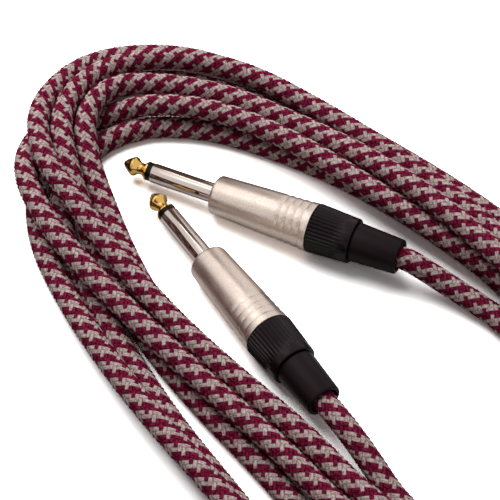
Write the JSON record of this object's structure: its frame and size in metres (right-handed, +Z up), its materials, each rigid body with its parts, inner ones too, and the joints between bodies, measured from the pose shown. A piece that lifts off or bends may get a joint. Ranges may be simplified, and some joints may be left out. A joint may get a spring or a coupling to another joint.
{
  "type": "instrument cable",
  "caption": "Braided two-colour instrument cable wound into a flat oval bundle, with a straight phone plug with shell, gland nut and strain-relief boot on each end.",
  "frame": {"origin": "on the table, under the middle of the two plugs' bounding box", "axes": "+X along the bundle's long side from the plugs' tips to their boots, +Y across the bundle, +Z up from the table"},
  "size_m": [0.2612, 0.1455, 0.0217],
  "materials": {
    "gold_plate": "polished gold plate on brass",
    "polished_nickel": "polished nickel plate",
    "satin_nickel": "satin nickel plate",
    "tinned_brass": "tinned",
    "copper": "bare strands",
    "solder": "solder",
    "black_plastic": "moulded, fine grain",
    "white_plastic": "moulded",
    "clear_plastic": "translucent tube",
    "black_rubber": "matte",
    "cord_jacket": "under the braid",
    "braid": "woven textile braid, burgundy and grey-beige"
  },
  "bodies": {
    "cable": {"tip_contact_a": "gold_plate", "tip_insulator_a": "black_plastic", "insulating_tube_a": "black_plastic", "sleeve_contact_a": "polished_nickel", "rear_insulator_a": "black_plastic", "tip_terminal_a": "tinned_brass", "ground_terminal_a": "tinned_brass", "shell_a": "satin_nickel", "shell_liner_a": "clear_plastic", "jacket_end_a": "cord_jacket", "core_insulation_a": "white_plastic", "centre_conductor_a": "copper", "shield_pigtail_a": "copper", "tip_solder_a": "solder", "ground_solder_a": "solder", "tip_contact_b": "gold_plate", "tip_insulator_b": "black_plastic", "insulating_tube_b": "black_plastic", "sleeve_contact_b": "polished_nickel", "rear_insulator_b": "black_plastic", "tip_terminal_b": "tinned_brass", "ground_terminal_b": "tinned_brass", "shell_b": "satin_nickel", "shell_liner_b": "clear_plastic", "jacket_end_b": "cord_jacket", "core_insulation_b": "white_plastic", "centre_conductor_b": "copper", "shield_pigtail_b": "copper", "tip_solder_b": "solder", "ground_solder_b": "solder", "cord_coil": "braid", "cord_lead_a": "braid", "cord_lead_b": "braid"},
    "chuck_carrier_a": {"chuck_a": "white_plastic"},
    "gland_nut_a": {"gland_nut_a": "black_plastic", "boot_a": "black_rubber"},
    "chuck_carrier_b": {"chuck_b": "white_plastic"},
    "gland_nut_b": {"gland_nut_b": "black_plastic", "boot_b": "black_rubber"}
  },
  "joints": [
    {"name": "gland_travel_a", "type": "slide", "parent": "cable", "child": "chuck_carrier_a", "axis": [0.9626, 0.267, 0.0454], "range_m": [0, 0.0045]},
    {"name": "gland_turn_a", "type": "hinge", "parent": "chuck_carrier_a", "child": "gland_nut_a", "pos_m": [0.00969, 0.01986, 0.0079], "axis": [0.9626, 0.267, 0.0454], "range_deg": [0, 1620]},
    {"name": "gland_travel_b", "type": "slide", "parent": "cable", "child": "chuck_carrier_b", "axis": [0.9626, -0.267, 0.0454], "range_m": [0, 0.0045]},
    {"name": "gland_turn_b", "type": "hinge", "parent": "chuck_carrier_b", "child": "gland_nut_b", "pos_m": [0.02569, -0.01986, 0.0079], "axis": [0.9626, -0.267, 0.0454], "range_deg": [0, 1620]}
  ],
  "couplings": [
    {"joint": "gland_turn_a", "follows": "gland_travel_a", "rad_per_m": 6283.2},
    {"joint": "gland_turn_b", "follows": "gland_travel_b", "rad_per_m": 6283.2}
  ]
}
